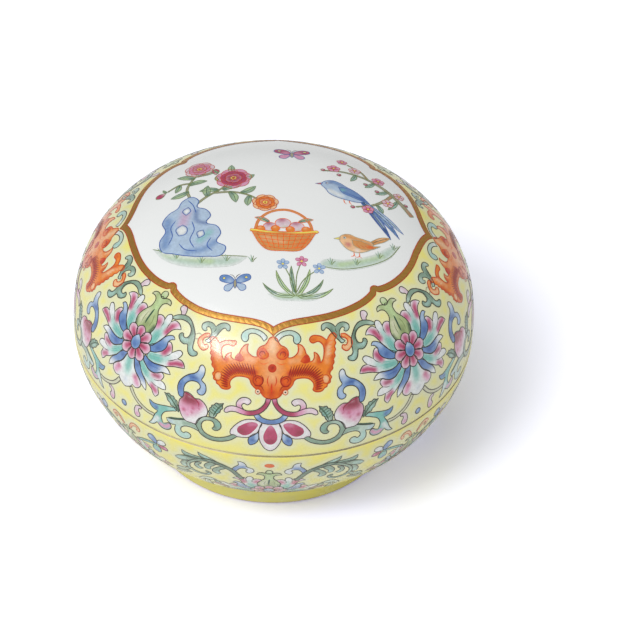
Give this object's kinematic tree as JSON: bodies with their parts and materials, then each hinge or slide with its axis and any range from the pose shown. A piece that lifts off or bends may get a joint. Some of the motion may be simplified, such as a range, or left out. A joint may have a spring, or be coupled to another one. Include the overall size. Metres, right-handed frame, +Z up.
{
  "type": "seal paste box",
  "caption": "Round porcelain box for seal paste: a domed lid drops over the lip of a footed bowl, with enamelled bats, lotus and peaches on yellow around a gilt-edged white panel.",
  "frame": {"origin": "middle of the foot ring, on the face that stands on the table", "axes": "+Z up along the box's axis; -Y is the front, towards the picture's viewer; +X to the viewer's right"},
  "size_m": [0.09, 0.09, 0.0632],
  "materials": {
    "yellow_glaze": "gloss",
    "lid_glaze": "gloss",
    "bare_porcelain": "matte",
    "enamel": "gloss",
    "iron_red": "gloss",
    "gilding": "polished",
    "cinnabar_paste": "satin"
  },
  "bodies": {
    "root": {"base": "yellow_glaze", "seal_paste": "cinnabar_paste"},
    "lid": {"lid": "lid_glaze"}
  },
  "joints": [
    {"name": "lid_lift", "type": "slide", "parent": "root", "child": "lid", "axis": [0, 0, 1], "range_m": [0, 0.06]}
  ]
}
